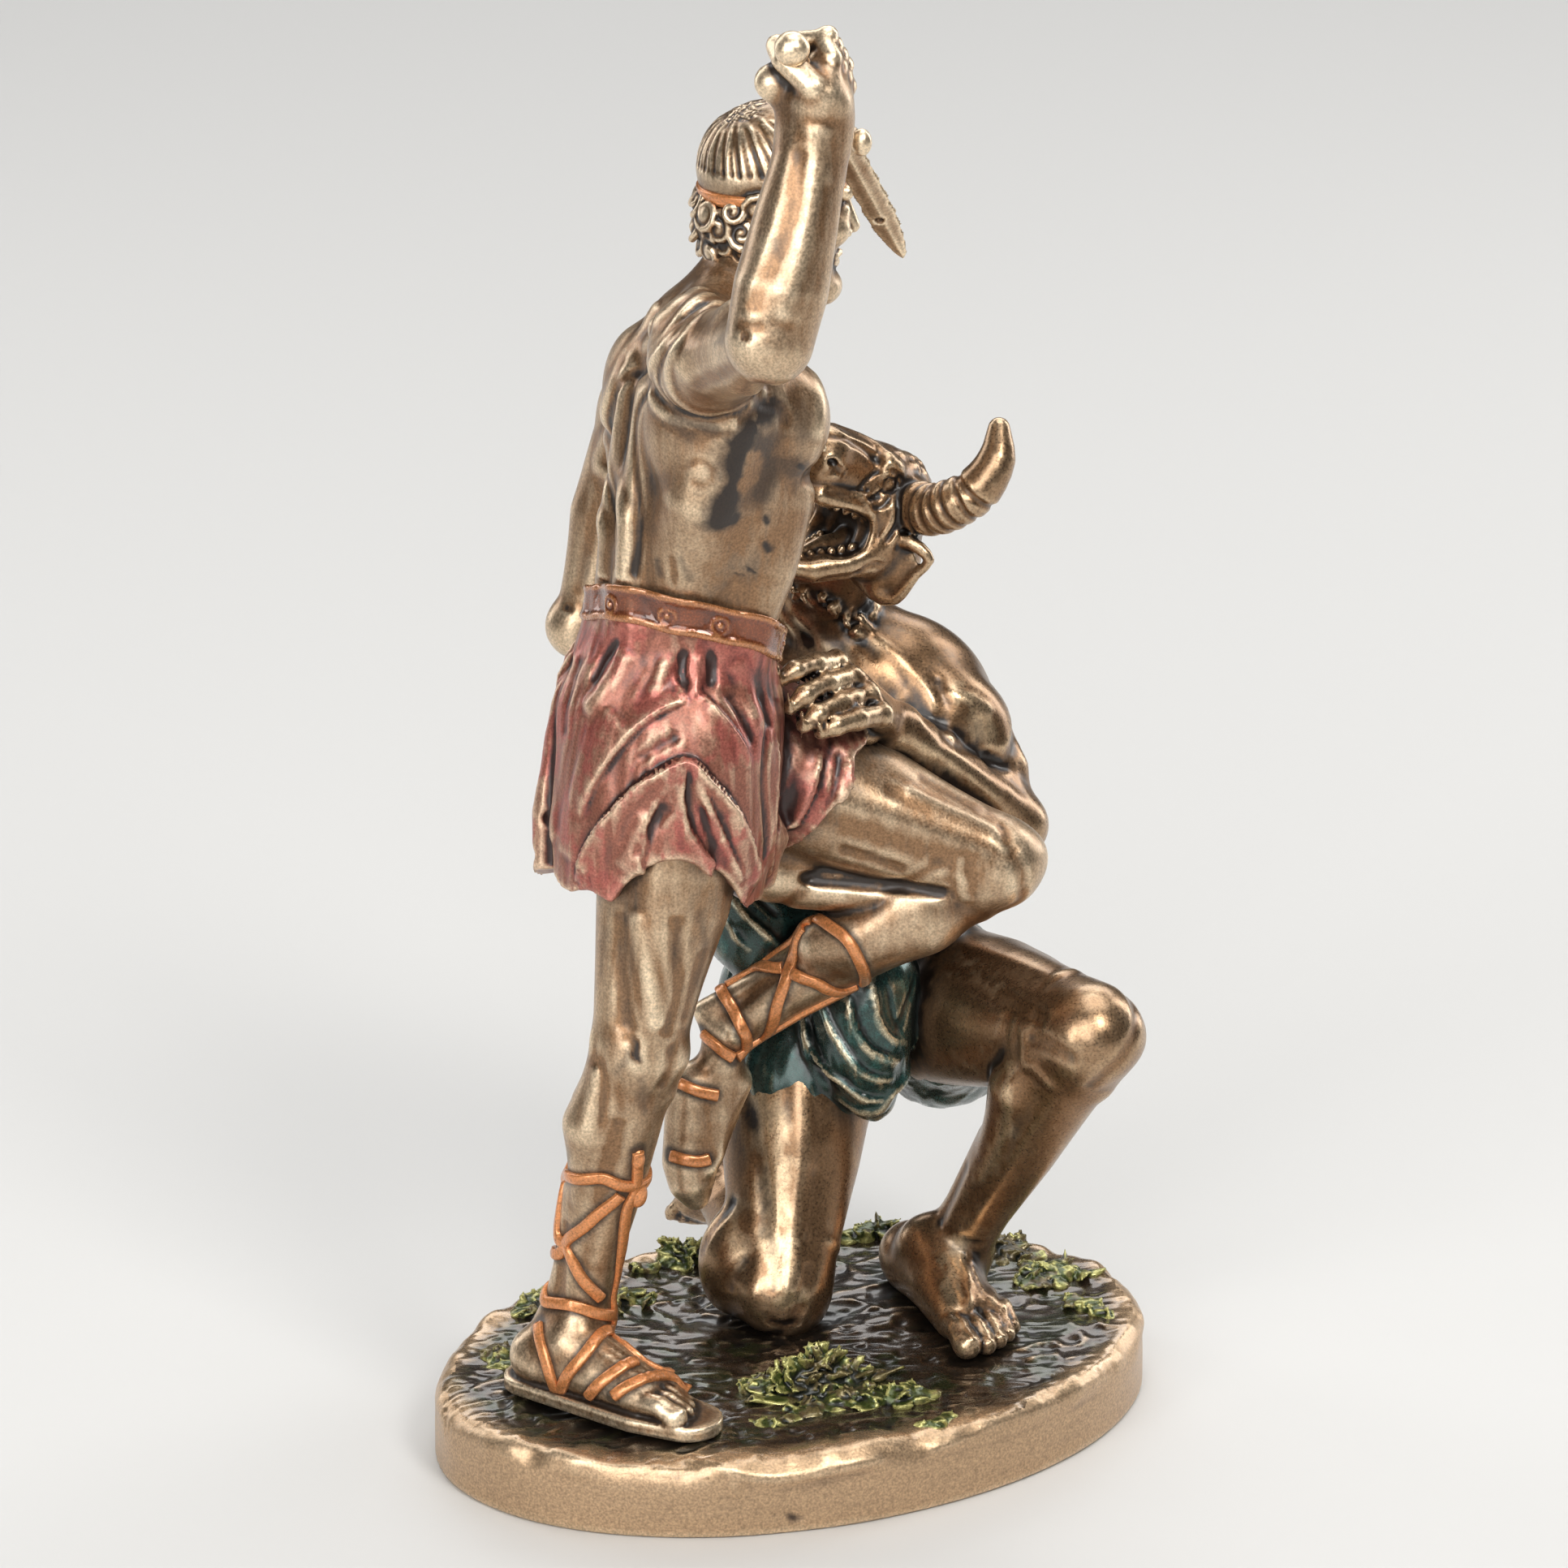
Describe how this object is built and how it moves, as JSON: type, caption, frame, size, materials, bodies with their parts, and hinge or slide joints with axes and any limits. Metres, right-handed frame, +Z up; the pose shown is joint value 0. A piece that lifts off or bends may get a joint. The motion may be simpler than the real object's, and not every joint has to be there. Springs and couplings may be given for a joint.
{
  "type": "theseus and minotaur statue",
  "caption": "Small painted cold-cast group on an oval base: a youth in a short tunic raises a dagger over a kneeling bull-headed man.",
  "frame": {"origin": "centre of the oval base's flat underside", "axes": "+Z up; +Y away from the viewer of the front; +X to the viewer's right"},
  "size_m": [0.112, 0.1135, 0.2357],
  "materials": {
    "bronze_paint": "satin bronze powder over cast resin, dark wash in the hollows",
    "dark_bronze_paint": "darker satin bronze powder over cast resin",
    "rose_paint": "dusty rose wash over bronze",
    "green_paint": "dark green wash over bronze",
    "copper_paint": "glossy copper paint",
    "base_paint": "pale bronze rim, streaked brown ground"
  },
  "bodies": {
    "root": {"theseus_minotaur_casting": "bronze_paint"}
  },
  "joints": []
}
